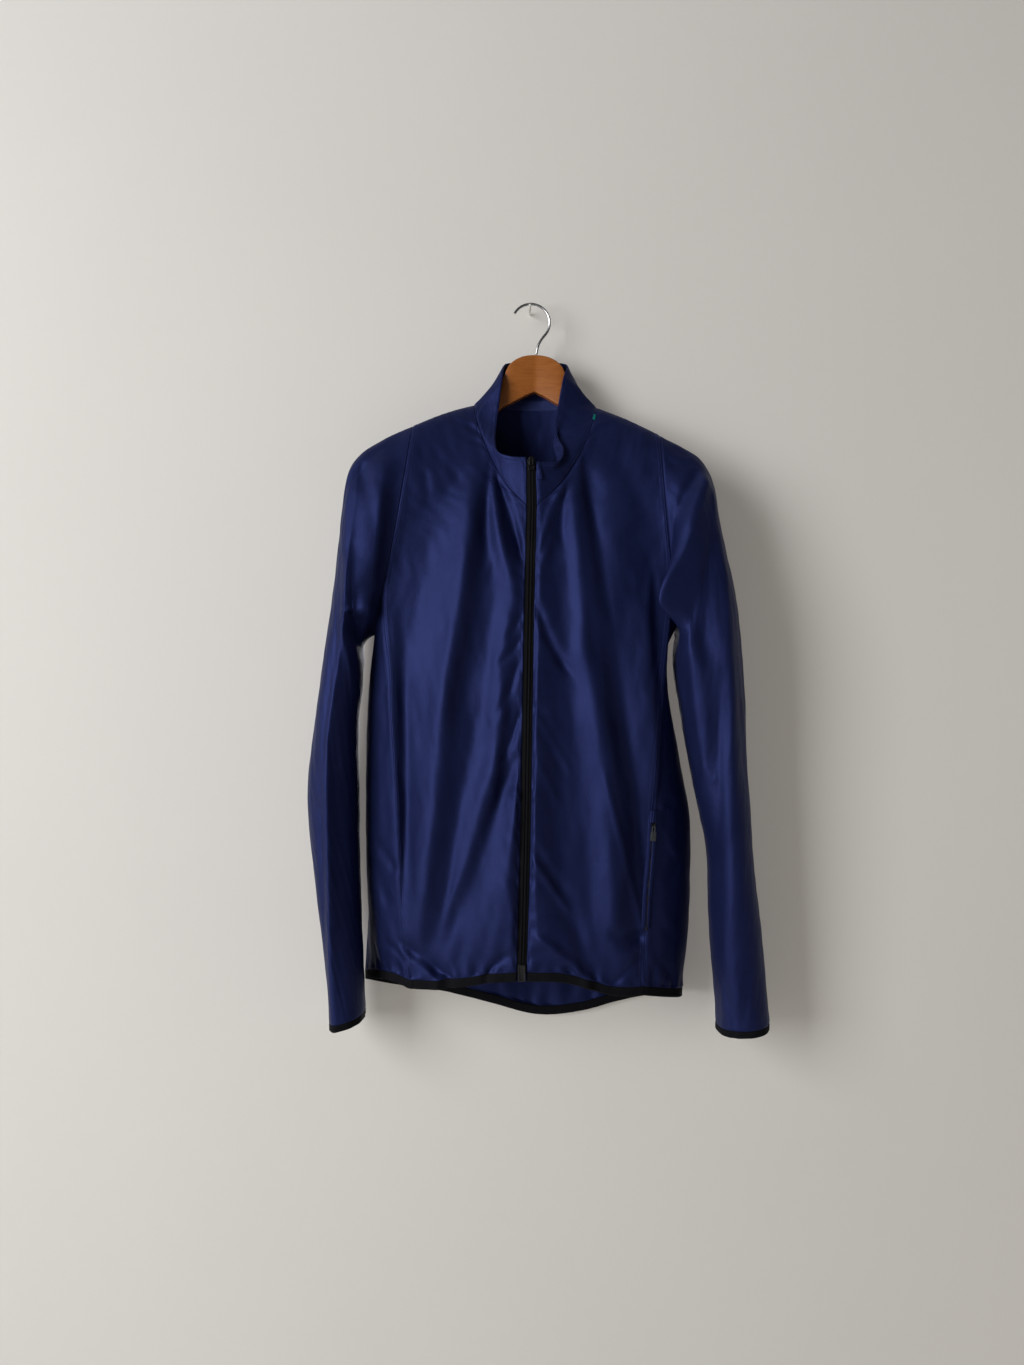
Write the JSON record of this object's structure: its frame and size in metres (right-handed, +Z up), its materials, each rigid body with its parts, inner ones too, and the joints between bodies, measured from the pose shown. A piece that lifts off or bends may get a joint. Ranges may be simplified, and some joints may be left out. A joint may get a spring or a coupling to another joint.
{
  "type": "track jacket",
  "caption": "Full-zip running jacket with a stand collar, side panels, a side pocket zip and elastic-bound hem and cuffs, hanging on a contoured wooden hanger with a wire hook.",
  "frame": {"origin": "inside top of the hanger's hook, where the pin or rail that carries it touches the wire", "axes": "+Z up, the jacket's front faces -Y, the wearer's left sleeve is on +X"},
  "size_m": [0.5392, 0.1116, 0.864],
  "materials": {
    "navy_shell": "smooth woven, satin",
    "black_elastic": "ribbed, matt",
    "black_tape": "woven, matt",
    "black_zip": "semi-gloss",
    "grey_rubber": "matt",
    "pale_wood": "clear lacquer",
    "chrome_wire": "polished"
  },
  "bodies": {
    "jacket": {"front_right": "navy_shell", "front_left": "navy_shell", "side_right": "navy_shell", "side_left": "navy_shell", "back": "navy_shell", "sleeve_front_right": "navy_shell", "sleeve_back_right": "navy_shell", "sleeve_front_left": "navy_shell", "sleeve_back_left": "navy_shell", "collar": "navy_shell", "hem_binding": "black_elastic", "cuff_binding_right": "black_elastic", "cuff_binding_left": "black_elastic", "zip_tape_right": "black_tape", "zip_tape_left": "black_tape", "zip_teeth": "black_zip", "zip_slider": "black_zip", "zip_box": "black_zip", "zip_garage": "navy_shell", "pocket_zip": "black_tape", "pocket_slider": "black_zip", "hanger": "pale_wood", "hanger_hook": "chrome_wire"},
    "front_zip_pull": {"zip_pull": "black_zip"},
    "side_zip_pull": {"pocket_pull": "grey_rubber"}
  },
  "joints": [
    {"name": "zip_pull_turn", "type": "hinge", "parent": "jacket", "child": "front_zip_pull", "pos_m": [0.0005, -0.06965, -0.205], "axis": [1, 0, 0], "range_deg": [0, 180]},
    {"name": "pocket_pull_turn", "type": "hinge", "parent": "jacket", "child": "side_zip_pull", "pos_m": [0.14, -0.06789, -0.61753], "axis": [-0.9672, -0.2486, 0.0515], "range_deg": [0, 150]}
  ]
}
